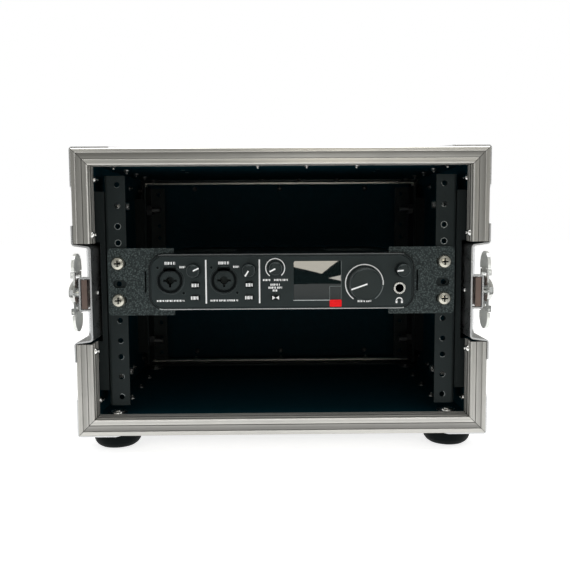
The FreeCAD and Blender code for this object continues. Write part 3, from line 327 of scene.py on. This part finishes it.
def textured_powder():
    """Coarse black powder coat: rounded pimples of about a millimetre, glossy on top."""
    g = Graph("powder_coarse")
    pimple = g.cells(850.0, "SMOOTH_F1")
    fine = g.noise(1300.0, 3.0, 0.6)
    height = g.math("ADD", g.math("MULTIPLY", g.math("SUBTRACT", 1.0, pimple), 0.8),
                    g.math("MULTIPLY", fine, 0.2))
    # The pimple tops are drawn paler than the hollows: a painted highlight.
    colour = g.ramp(height, (0.42, (0.0035, 0.0060, 0.0062)), (0.62, (0.018, 0.026, 0.026)),
                    (0.78, (0.070, 0.088, 0.086)))
    return g.finish(Base_Color=colour, Roughness=g.spread(height, 0.62, 0.34, 0.4, 0.85),
                    Specular_Tint=COLD, Normal=g.bump(height, 0.22))


def rim_highlight():
    """Rim of the sleeve: a painted highlight in metal colour along its straight runs, bright
    underneath and faint on top.
    """
    g = Graph("sleeve_rim_edge")
    fine = g.noise(1800.0, 3.0, 0.55)
    wander = g.noise(30.0, 3.0, 0.6, g.scaled(1.0, 1.0, 0.2))
    run = g.math("LESS_THAN", g.math("ABSOLUTE", g.part(0)), 94.0 * MM)
    below = g.math("LESS_THAN", g.part(2), FACE.z)
    # Painted highlight: strong along the bottom run, faint along the top run.
    amount = g.math("MULTIPLY", run, g.blend(below, 0.22, g.spread(wander, 0.75, 1.0)))
    colour = g.mix(amount, (0.012, 0.015, 0.016), g.mix(fine, (0.46, 0.49, 0.49), (0.56, 0.58, 0.58)))
    return g.finish(Base_Color=colour, Metallic=0.6, Roughness=g.spread(fine, 0.24, 0.36),
                    Normal=g.bump(fine, 0.006))


def film_glass():
    """Dark display under a slightly wavy protective film."""
    g = Graph("display_film")
    wave = g.noise(55.0, 2.0, 0.4, g.scaled(1.0, 1.0, 2.2), warp=0.4)
    grid = g.math("MULTIPLY", g.math("SINE", g.math("MULTIPLY", g.part(0), 22000.0)),
                  g.math("SINE", g.math("MULTIPLY", g.part(2), 22000.0)))
    colour = g.mix(g.spread(grid, 0.0, 1.0, -1.0, 1.0),
                   (0.003, 0.0065, 0.007), (0.007, 0.012, 0.0125))
    return g.finish(Base_Color=colour, Roughness=g.spread(wave, 0.006, 0.02),
                    Specular_IOR_Level=0.8, Coat_Weight=1.0, Coat_Roughness=0.01,
                    Normal=g.bump(wave, 0.004))


def tab_film():
    """Red pull tab of the film: thin glossy plastic with shallow creases."""
    g = Graph("film_tab")
    crease = g.noise(300.0, 2.0, 0.5, g.scaled(1.0, 1.0, 3.0))
    colour = g.mix(g.spread(crease, 0.0, 1.0), (0.80, 0.003, 0.006), (0.92, 0.008, 0.012))
    return g.finish(Base_Color=colour, Roughness=g.spread(crease, 0.35, 0.55),
                    Specular_IOR_Level=0.15, Normal=g.bump(crease, 0.03))


ALU = (0.76, 0.75, 0.71)
looks = {
    "ring": brushed("aluminium_ring", ALU, "ring", grooved=True),
    # The rear frame's inside faces are darkened to about 6% of the outside metal: painted shade.
    "rear_ring": brushed("aluminium_rear_ring", ALU, "ring", grooved=True,
                         inner=(0.055, 0.066, 0.073)),
    "lid_ring": brushed("aluminium_lid_ring", ALU, "ring"),
    "angle": brushed("aluminium_angle", ALU, "y"),
    "zinc": metal("zinc_plate", (0.66, 0.67, 0.68), (0.22, 0.42)),
    "hook": metal("hook_steel_brown", (0.22, 0.165, 0.145), (0.30, 0.52)),
    "rivet": rivet_plate(),
    "screw": metal("screw_plate", (0.60, 0.585, 0.51), (0.16, 0.30)),
    "nickel": metal("latch_plate", (0.64, 0.65, 0.63), (0.05, 0.14), 500.0, 0.003, 0.12),
    "wing": metal("wing_plate", (0.90, 0.92, 0.88), (0.05, 0.14), 500.0, 0.003, 0.12,
                  metallic=0.4),
    "bare": metal("bare_steel_edge", (0.34, 0.37, 0.37), (0.22, 0.40)),
    "laminate": laminate(),
    "wood": stained_wood(),
    "rail": coated("rail_coat", (0.0040, 0.0062, 0.0064), (0.0090, 0.0125, 0.0128), (0.38, 0.56),
                   1500.0, 0.02, specular=0.28),
    "powder": textured_powder(),
    "sleeve": coated("sleeve_paint", (0.0085, 0.0122, 0.0126), (0.0155, 0.0224, 0.0231),
                     (0.28, 0.42), 1800.0, 0.01, metallic=0.2),
    "rim": rim_highlight(),
    "face": coated("face_paint_satin", (0.0068, 0.0105, 0.0110), (0.0118, 0.0170, 0.0176),
                   (0.38, 0.50), 2400.0, 0.01, specular=0.42),
    "line": coated("painted_highlight_grey", (0.040, 0.050, 0.050), (0.060, 0.072, 0.072), (0.4, 0.5),
                   2400.0, 0.01),
    "gap": coated("shadow_gap_black", (0.0010, 0.0016, 0.0018), (0.0022, 0.0030, 0.0032),
                  (0.6, 0.8), 1500.0, 0.01, specular=0.1),
    "rubber": coated("foot_rubber_black", (0.0008, 0.0016, 0.0018), (0.0026, 0.0040, 0.0042),
                     (0.5, 0.65), 900.0, 0.03, specular=0.09),
    "grip": coated("grip_rubber_black", (0.0068, 0.0102, 0.0105), (0.0136, 0.0204, 0.021),
                   (0.5, 0.7), 700.0, 0.05),
    "socket": coated("socket_moulding", (0.0042, 0.0068, 0.0072), (0.0085, 0.0130, 0.0135),
                     (0.30, 0.48), 1500.0, 0.01),
    "knob": coated("knob_moulding", (0.0040, 0.0064, 0.0066), (0.0080, 0.0120, 0.0124),
                   (0.30, 0.42), 2000.0, 0.008),
    "button": coated("button_moulding", (0.0014, 0.0026, 0.0028), (0.0032, 0.0048, 0.0052),
                     (0.40, 0.54), 2000.0, 0.008, specular=0.16),
    "display": film_glass(),
    "print": coated("legend_print", (0.84, 0.85, 0.85), (0.93, 0.94, 0.94), (0.42, 0.6), 2500.0,
                    0.01, tint=(1.0, 1.0, 1.0)),
    "faded": coated("faded_print_and_film_edge_highlight", (0.13, 0.15, 0.15), (0.20, 0.22, 0.22), (0.42, 0.6),
                    2500.0, 0.01),
    "film_fold": coated("film_edge_highlight_white", (0.42, 0.45, 0.45), (0.55, 0.58, 0.58), (0.2, 0.35),
                        900.0, 0.01),
    "red": tab_film(),
}
SLOT_LOOKS = {
    "black_board": "laminate", "bare_board": "wood", "extrusion": "ring", "zinc_steel": "zinc",
    "rivet_steel": "rivet", "screw_steel": "screw", "latch_nickel": "nickel",
    "rail_black": "rail", "unit_paint": "sleeve", "face_paint": "face", "ear_powder": "powder",
    "foot_rubber": "rubber", "grip_rubber": "grip", "display_glass": "display",
    "socket_plastic": "socket", "knob_plastic": "knob", "button_plastic": "button",
}
for name, piece in nodes.items():
    for place, old in enumerate(piece.data.materials):
        piece.data.materials[place] = looks[SLOT_LOOKS[old.name.split(".")[0]]]
nodes["edge_angles"].data.materials[0] = looks["angle"]
nodes["rear_valance"].data.materials[0] = looks["rear_ring"]
for name in ("lid_valance", "lid_angles"):
    nodes[name].data.materials[0] = looks["lid_ring"]
for name in nodes:
    if name.startswith("latch_hook"):
        nodes[name].data.materials[0] = looks["hook"]
    if name.startswith("latch_wing"):
        nodes[name].data.materials[0] = looks["wing"]


# ---- new pieces ---------------------------------------------------------------------------
def made(name, mesh, look, body, slot):
    piece = bpy.data.objects.new(name, mesh)
    bpy.context.scene.collection.objects.link(piece)
    mesh.materials.append(looks[look])
    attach(piece, body)
    return piece


class Print:
    """Flat raised shapes in the plane of the unit's face, in millimetres from a centre."""

    def __init__(self, centre, lift=0.04):
        self.centre = centre
        self.lift = lift * MM
        self.mesh = bmesh.new()

    def shape(self, points):
        """A closed outline, anticlockwise as seen from in front, raised off the face."""
        back = self.centre.y + 0.02 * MM
        front = self.centre.y - self.lift
        spots = [(self.centre.x + x * MM, self.centre.z + z * MM) for x, z in points]
        low = [self.mesh.verts.new((x, back, z)) for x, z in spots]
        high = [self.mesh.verts.new((x, front, z)) for x, z in spots]
        self.mesh.faces.new(high)
        for i in range(len(points)):
            j = (i + 1) % len(points)
            self.mesh.faces.new((low[i], low[j], high[j], high[i]))

    def bar(self, x0, x1, z0, z1, corner=0.25):
        corner = min(corner, (x1 - x0) / 2 - 0.001, (z1 - z0) / 2 - 0.001)
        points = []
        for cx, cz, start in ((x1 - corner, z1 - corner, 0), (x0 + corner, z1 - corner, 90),
                              (x0 + corner, z0 + corner, 180), (x1 - corner, z0 + corner, 270)):
            for step in (0, 30, 60, 90):
                turn = math.radians(start + step)
                points.append((cx + corner * math.cos(turn), cz + corner * math.sin(turn)))
        self.shape(points)

    def word(self, x0, x1, z, height=1.25):
        """A row of short blocks that stands where a printed word is."""
        widths = (0.95, 0.6, 1.15, 0.45, 0.85, 0.7)
        gaps = (0.40, 0.36, 0.44, 0.38, 0.95)
        x = x0
        count = 0
        while x < x1 - 0.3:
            width = min(widths[count % len(widths)], x1 - x)
            low = z - height / 2 + (0.3 if count % 4 == 3 else 0.0)
            self.bar(x, x + width, low, z + height / 2, 0.12)
            x += width + gaps[count % len(gaps)]
            count += 1

    def arc(self, x, z, inner, outer, start, end):
        """Part of a ring, from clock angle start to end in degrees."""
        steps = max(4, int(abs(end - start) / 6))
        turns = [math.radians(start + (end - start) * i / steps) for i in range(steps + 1)]
        for a, b in zip(turns, turns[1:]):
            self.shape([(x + outer * math.sin(a), z + outer * math.cos(a)),
                        (x + inner * math.sin(a), z + inner * math.cos(a)),
                        (x + inner * math.sin(b), z + inner * math.cos(b)),
                        (x + outer * math.sin(b), z + outer * math.cos(b))])

    def ring(self, x, z, inner, outer):
        self.arc(x, z, inner, outer, 0, 360)

    def stroke(self, x0, z0, x1, z1, width):
        length = math.hypot(x1 - x0, z1 - z0)
        nx, nz = -(z1 - z0) / length * width / 2, (x1 - x0) / length * width / 2
        self.shape([(x0 - nx, z0 - nz), (x1 - nx, z1 - nz), (x1 + nx, z1 + nz), (x0 + nx, z0 + nz)])

    def done(self, name, look, body, slot):
        mesh = bpy.data.meshes.new(name)
        bmesh.ops.recalc_face_normals(self.mesh, faces=self.mesh.faces)
        self.mesh.to_mesh(mesh)
        self.mesh.free()
        return made(name, mesh, look, body, slot)


# Places on the unit's face, in millimetres from its centre.
SOCKET_STEP = 41.0
SOCKETS = ((-85.25, 1.3), (-85.25 + SOCKET_STEP, 1.3))
DIVIDERS = (-57.9, -17.05)
MIX_KNOB = (-4.95, 10.4)
MONITOR_KNOB = (63.35, -1.8)
PHONES_X, JACK_Z, PHONES_SIGN_Z = 90.25, -5.5, -15.3

# Light legends: blocks where words are, dividing lines, knob scales and a headphone sign.
legends = Print(FACE)
for shift in (0.0, SOCKET_STEP):
    legends.word(-89.3 + shift, -81.3 + shift, 14.6, 2.2)
    legends.word(-78.0 + shift, -73.2 + shift, 11.6, 1.6)
    legends.word(-95.7 + shift, -74.7 + shift, -14.2, 1.4)
for x in DIVIDERS:
    legends.bar(x - 0.55, x + 0.55, -16.5, 17.0, 0.1)
legends.word(-14.4, -8.6, 1.3, 1.5)
legends.word(-5.9, 4.6, 1.3, 1.5)
for x0, x1, z in ((-8.7, -1.6, -2.3), (-10.2, 0.2, -4.6), (-7.0, -3.0, -6.8)):
    legends.word(x0, x1, z, 1.6)
legends.word(58.2, 68.6, -15.4, 1.6)
legends.arc(*MIX_KNOB, 6.9, 7.6, 215, 500)
legends.arc(*MONITOR_KNOB, 14.1, 14.9, 215, 455)
legends.arc(PHONES_X, PHONES_SIGN_Z, 1.8, 2.7, -95, 95)
legends.bar(PHONES_X - 2.85, PHONES_X - 1.35, -17.2, -14.8, 0.4)
legends.bar(PHONES_X + 1.35, PHONES_X + 2.85, -17.2, -14.8, 0.4)
legends.done("face_legends", "print", "case", "face_paint")

faded = Print(FACE)
faded.arc(*MONITOR_KNOB, 14.2, 14.75, 457, 505)
faded.done("faded_arc", "faded", "case", "face_paint")

# Screw heads beside each socket, and thin painted highlights: an arc on the right and lower side of
# each head and a ring round each socket.
HEAD_R = 1.0
shadow = Print(FACE, 0.03)
outline = Print(FACE, 0.035)
for x, z in SOCKETS:
    for cx, cz in ((x - 9.4, z + 9.8), (x + 10.2, z - 9.7)):
        shadow.ring(cx, cz, 0.0001, HEAD_R)
        outline.arc(cx, cz, HEAD_R, HEAD_R + 0.25, 60, 250)
    outline.ring(x, z, 10.7, 10.95)
shadow.done("panel_screw_heads", "gap", "case", "socket_plastic")
outline.done("panel_highlights", "line", "case", "face_paint")

# Painted shade: dark rings and patches where each socket's gap and latch recess are in shadow; and
# the bright ring of the headphone jack.
SOCKET_PLANE = Vector((FACE.x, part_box("panel_sockets")[0].y, FACE.z))
for number, (x, z) in enumerate(SOCKETS, 1):
    gap = Print(SOCKET_PLANE, 0.03)
    gap.ring(x, z, 7.9, 9.5)
    gap.bar(x - 4.9, x + 4.9, z + 7.2, z + 10.3, 1.2)
    gap.done("socket_gap_%d" % number, "gap", "case", "socket_plastic")
jack = Print(SOCKET_PLANE, 0.06)
jack.ring(PHONES_X, JACK_Z, 3.2, 4.45)
jack.done("phones_ring", "rivet", "case", "latch_nickel")

POINTERS = {                # clock angle, inner and outer end, width
    "knob_gain_1": (65, 0.2, 5.0, 1.1), "knob_gain_2": (213, 0.2, 5.0, 1.1),
    "knob_mix": (243, 0.2, 5.0, 1.1), "knob_monitor": (251, -0.9, 11.9, 1.1),
    "knob_phones": (264, 0.2, 5.0, 1.1),
}
# Painted highlight: a thin pale ring near the rim of each knob's front.
CROWN_INSET, CROWN_HIGHLIGHT = 0.8, 0.28
for name, (clock, inner, outer, width) in POINTERS.items():
    mark = Print(front_of(name), 0.06)
    turn = math.radians(clock)
    mark.stroke(inner * math.sin(turn), inner * math.cos(turn),
                outer * math.sin(turn), outer * math.cos(turn), width)
    mark.done(name.replace("knob", "pointer"), "print", name, "knob_plastic")
    edge = Print(front_of(name), 0.03)
    lo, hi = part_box(name)
    crown = (hi.x - lo.x) / 2 / MM - CROWN_INSET
    edge.ring(0, 0, crown - CROWN_HIGHLIGHT, crown)
    edge.done(name.replace("knob", "crown_highlight"), "line", name, "knob_plastic")

BUTTON_WORDS = {            # half the length of the word on each button
    "button_phantom_1": 2.6, "button_phantom_2": 2.6, "button_pad_1": 3.3, "button_pad_2": 3.3,
}
for name, half_w in BUTTON_WORDS.items():
    mark = Print(front_of(name), 0.05)
    mark.word(-half_w, half_w, 0.0, 2.6)
    mark.done(name.replace("button", "mark"), "print", name, "button_plastic")
mark = Print(front_of("button_stereo"), 0.05)
mark.shape([(-2.6, -1.5), (-0.2, 0.0), (-2.6, 1.5)])
mark.shape([(2.6, 1.5), (0.2, 0.0), (2.6, -1.5)])
mark.done("mark_stereo", "print", "button_stereo", "button_plastic")

# Painted highlights along the edges of the display's protective film and along its bottom edge, and
# its red pull tab.
GLASS_LO, GLASS_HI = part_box("display_window")
strip_x0, strip_top = 36.9, 10.1
x0, x1 = GLASS_LO.x / MM, GLASS_HI.x / MM
z0, z1 = (GLASS_LO.z - FACE.z) / MM, (GLASS_HI.z - FACE.z) / MM
film = Print(FACE, 0.05)
film.bar(x1 - 0.15, x1 + 0.15, z0, z1, 0.05)
film.bar(strip_x0, x1, z0 + strip_top, z0 + strip_top + 0.3, 0.05)
film.bar(strip_x0 - 0.3, strip_x0, z0, z0 + strip_top + 0.3, 0.05)
film.done("film_edges", "faded", "case", "display_glass")
bottom_edge = Print(FACE, 0.08)
bottom_edge.bar(x0 - 0.4, strip_x0, z0 - 0.65, z0 - 0.1, 0.05)
bottom_edge.done("film_fold", "film_fold", "case", "display_glass")
tab = Print(FACE, 0.25)
tab.bar(strip_x0 - 0.2, x1 + 0.3, z0 - 5.6, z0 - 0.1, 0.7)
tab.done("film_tab", "red", "case", "display_glass")


BEAD_SIDES = 12


def swept_bead(name, width, height, corner, y, radius, look, body, slot):
    """A round bead that follows a rounded rectangle in the plane of the unit's face."""
    path = []
    for cx, cz, start in ((width / 2 - corner, height / 2 - corner, 0),
                          (corner - width / 2, height / 2 - corner, 90),
                          (corner - width / 2, corner - height / 2, 180),
                          (width / 2 - corner, corner - height / 2, 270)):
        for step in range(0, 91, 10):
            path.append((cx, cz, math.radians(start + step)))
    mesh = bmesh.new()
    rings = []
    for cx, cz, turn in path:
        ring = []
        for k in range(BEAD_SIDES):
            roll = 2 * math.pi * k / BEAD_SIDES
            out = corner + radius * math.cos(roll)
            spot = (FACE.x + (cx + out * math.cos(turn)) * MM, y - radius * math.sin(roll) * MM,
                    FACE.z + (cz + out * math.sin(turn)) * MM)
            ring.append(mesh.verts.new(spot))
        rings.append(ring)
    for a, b in zip(rings, rings[1:] + rings[:1]):
        for k in range(BEAD_SIDES):
            after = (k + 1) % BEAD_SIDES
            mesh.faces.new((a[k], a[after], b[after], b[k]))
    bmesh.ops.recalc_face_normals(mesh, faces=mesh.faces)
    for face in mesh.faces:
        face.smooth = True
    data = bpy.data.meshes.new(name)
    mesh.to_mesh(data)
    mesh.free()
    return made(name, data, look, body, slot)


SLEEVE_LO, SLEEVE_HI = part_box("unit_chassis")
RIM_INSET, RIM_CORNER, RIM_R = 1.1, 10.4, 0.5
swept_bead("sleeve_rim", (SLEEVE_HI.x - SLEEVE_LO.x) / MM - RIM_INSET,
           (SLEEVE_HI.z - SLEEVE_LO.z) / MM - RIM_INSET, RIM_CORNER,
           SLEEVE_LO.y + 0.2 * MM, RIM_R, "rim", "case", "unit_paint")

# Bare metal round the mouths of the rail holes.
RAIL_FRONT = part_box("front_rail_left")[0].y
HOLE_X = 126.0
UNIT = 44.45
UNIT_STEPS = (6.35, 22.225, 38.1)               # holes of one unit, from its lower edge
COVERED = (5, 6, 7)         # holes behind the ears, counted up from nought
SCREWED = (5, 7)
BARE_ALL_ROUND = (8, 9)
MOUTH_R = 2.12
heights = [MID_Z / MM + (unit - 2) * UNIT + step for unit in range(4) for step in UNIT_STEPS]
worn = Print(Vector((0, RAIL_FRONT, 0)), 0.05)
for sign in (-1, 1):
    for number, z in enumerate(heights):
        if number in COVERED:
            continue
        start = (number * 47 + sign * 30) % 360
        if number in BARE_ALL_ROUND:
            worn.ring(sign * HOLE_X, z, MOUTH_R, 2.55)
        else:
            worn.arc(sign * HOLE_X, z, MOUTH_R, 2.35, start, start + 110)
worn.done("rail_hole_edges", "bare", "case", "rail_black")

# Painted shade: dark crosses laid in the cross recesses of the rack screws.
SCREW_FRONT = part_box("rack_screws")[0].y
ARM, HALF = 2.55, 0.5       # reach and half width of the recess's arms
cross = Print(Vector((0, SCREW_FRONT + 1.7 * MM, 0)), 0.5)
for sign in (-1, 1):
    for number in SCREWED:
        z = heights[number]
        x = sign * HOLE_X
        cross.shape([(x + HALF, z - ARM), (x + HALF, z - HALF), (x + ARM, z - HALF),
                     (x + ARM, z + HALF), (x + HALF, z + HALF), (x + HALF, z + ARM),
                     (x - HALF, z + ARM), (x - HALF, z + HALF), (x - ARM, z + HALF),
                     (x - ARM, z - HALF), (x - HALF, z - HALF), (x - HALF, z - ARM)])
cross.done("screw_recess_painted_shade", "gap", "case", "screw_steel")


# ---- camera, floor and light --------------------------------------------------------------
LENS = 44.37
PITCH, YAW, ROLL = 4.926, 0.633, 0.350          # degrees
STAND = (-0.00345, -0.66525, 0.17404)
camera_data = bpy.data.cameras.new("camera")
camera_data.lens = LENS
camera_data.sensor_width = 36.0
camera_data.clip_start = 0.05
camera = bpy.data.objects.new("camera", camera_data)
bpy.context.scene.collection.objects.link(camera)
facing = (Matrix.Rotation(math.radians(-YAW), 4, "Z")
          @ Matrix.Rotation(math.radians(90 - PITCH), 4, "X")
          @ Matrix.Rotation(math.radians(-ROLL), 4, "Z"))
camera.matrix_world = Matrix.Translation(STAND) @ facing
bpy.context.scene.camera = camera

floor_mesh = bpy.data.meshes.new("floor")
floor_edge = [(-6, -6, 0), (6, -6, 0), (6, 6, 0), (-6, 6, 0)]
floor_mesh.from_pydata(floor_edge, [], [(0, 1, 2, 3)])
floor = bpy.data.objects.new("floor", floor_mesh)
bpy.context.scene.collection.objects.link(floor)
g = Graph("floor_paper")
speck = g.noise(40.0, 3.0, 0.6)
g.finish(Base_Color=g.mix(speck, (0.58, 0.58, 0.58), (0.62, 0.62, 0.62)),
         Roughness=g.spread(speck, 0.6, 0.8), Specular_IOR_Level=0.1,
         Emission_Color=(1.0, 1.0, 1.0), Emission_Strength=0.78)
floor_mesh.materials.append(g.mat)


def reflected(name, corners, material):
    """A studio card that only reflections show."""
    mesh = bpy.data.meshes.new(name)
    mesh.from_pydata(corners, [], [tuple(range(len(corners)))])
    sheet = bpy.data.objects.new(name, mesh)
    bpy.context.scene.collection.objects.link(sheet)
    mesh.materials.append(material)
    sheet.visible_camera = False
    sheet.visible_diffuse = False
    sheet.visible_shadow = False


def card(name, outline, y, colour, glow):
    g = Graph(name + "_paper")
    fibre = g.noise(90.0, 3.0, 0.6)
    g.finish(Base_Color=g.mix(fibre, colour, tuple(c * 0.9 for c in colour)), Roughness=0.9,
             Specular_IOR_Level=0.0, Emission_Color=colour, Emission_Strength=glow)
    reflected(name, [(x, y, z) for x, z in outline], g.mat)


# What the display and the polished metal reflect, in front of the case.
card("flag_dark", ((-0.52, -0.3), (0.50, -0.3), (0.43, 0.50), (-0.39, 0.55)), -1.62,
     (0.012, 0.018, 0.019), 0.0)
card("card_upper", ((0.0408, 0.30), (0.30, 0.30), (0.22, 0.10), (0.1625, 0.0744),
                    (0.1177, 0.0399), (0.0412, 0.059)), -1.5, (1.0, 0.94, 0.82), 3.3)
card("card_small", ((0.136, 0.028), (0.170, 0.036), (0.170, 0.0207)), -1.5, (1.0, 0.96, 0.88), 3.0)

# A sheet that only reflections show stands in for the floor, and darkens towards the camera.
NEAR, FAR = -0.42, -1.6
g = Graph("flag_floor_cloth")
away = g.spread(g.part(1), 0.0, 1.0, NEAR, FAR)
weave = g.noise(120.0, 3.0, 0.6)
glow = g.ramp(away, (0.0, (0.95, 0.95, 0.93)), (0.25, (0.42, 0.43, 0.42)),
              (0.6, (0.26, 0.27, 0.27)), (0.75, (0.40, 0.41, 0.40)), (1.0, (0.44, 0.45, 0.44)))
g.finish(Base_Color=g.mix(weave, (0.02, 0.02, 0.02), (0.03, 0.03, 0.03)), Roughness=0.9,
         Specular_IOR_Level=0.0, Emission_Color=glow, Emission_Strength=1.0)
reflected("flag_floor", [(-1.6, NEAR, 0.003), (1.6, NEAR, 0.003), (1.6, FAR, 0.003),
                         (-1.6, FAR, 0.003)], g.mat)

# Plain white behind the object; light and reflections come from a sky that changes from the
# front (0) to the back (1) of the studio.
STUDIO = ((0.0, 0.42), (0.2, 0.40), (0.45, 0.20), (0.66, 0.45), (0.9, 0.55), (1.0, 0.16))
world = bpy.data.worlds.new("studio")
bpy.context.scene.world = world
world.use_nodes = True
tree = world.node_tree
sky = tree.nodes["Background"]
rays = tree.nodes.new("ShaderNodeLightPath")
backdrop = tree.nodes.new("ShaderNodeBackground")
backdrop.inputs[0].default_value = (1, 1, 1, 1)
toward = tree.nodes.new("ShaderNodeTexCoord")
split = tree.nodes.new("ShaderNodeSeparateXYZ")
lift = tree.nodes.new("ShaderNodeMapRange")
lift.inputs["From Min"].default_value = -1.0
fade = tree.nodes.new("ShaderNodeValToRGB")
join = tree.nodes.new("ShaderNodeMixShader")
tree.links.new(toward.outputs["Generated"], split.inputs[0])
tree.links.new(split.outputs[1], lift.inputs["Value"])
tree.links.new(lift.outputs[0], fade.inputs[0])
tree.links.new(fade.outputs[0], sky.inputs[0])
tree.links.new(rays.outputs["Is Camera Ray"], join.inputs[0])
tree.links.new(sky.outputs[0], join.inputs[1])
tree.links.new(backdrop.outputs[0], join.inputs[2])
tree.links.new(join.outputs[0], tree.nodes["World Output"].inputs[0])
while len(fade.color_ramp.elements) < len(STUDIO):
    fade.color_ramp.elements.new(0.5)
for point, (spot, grey) in zip(fade.color_ramp.elements, STUDIO):
    point.position = spot
    point.color = (grey, grey * 0.99, grey * 0.94, 1.0)


AIM = Vector((0, 0, 0.12))


def soft_light(name, place, width, height, power):
    """A rectangular lamp that points at the middle of the case."""
    data = bpy.data.lights.new(name, "AREA")
    data.shape = "RECTANGLE"
    data.size, data.size_y = width, height
    data.energy = power
    lamp = bpy.data.objects.new(name, data)
    lamp.location = place
    lamp.rotation_euler = (AIM - lamp.location).to_track_quat("-Z", "Y").to_euler()
    bpy.context.scene.collection.objects.link(lamp)


soft_light("overhead", (0.0, -0.1, 1.5), 1.6, 0.9, 14)
soft_light("side_left", (-1.5, -0.5, 0.45), 0.5, 0.9, 1.6)
soft_light("side_right", (1.5, -0.5, 0.45), 0.5, 0.9, 2.6)
soft_light("front_fill", (0.3, -1.9, 1.2), 0.8, 0.5, 1.6)

bpy.context.scene.view_settings.view_transform = "Standard"
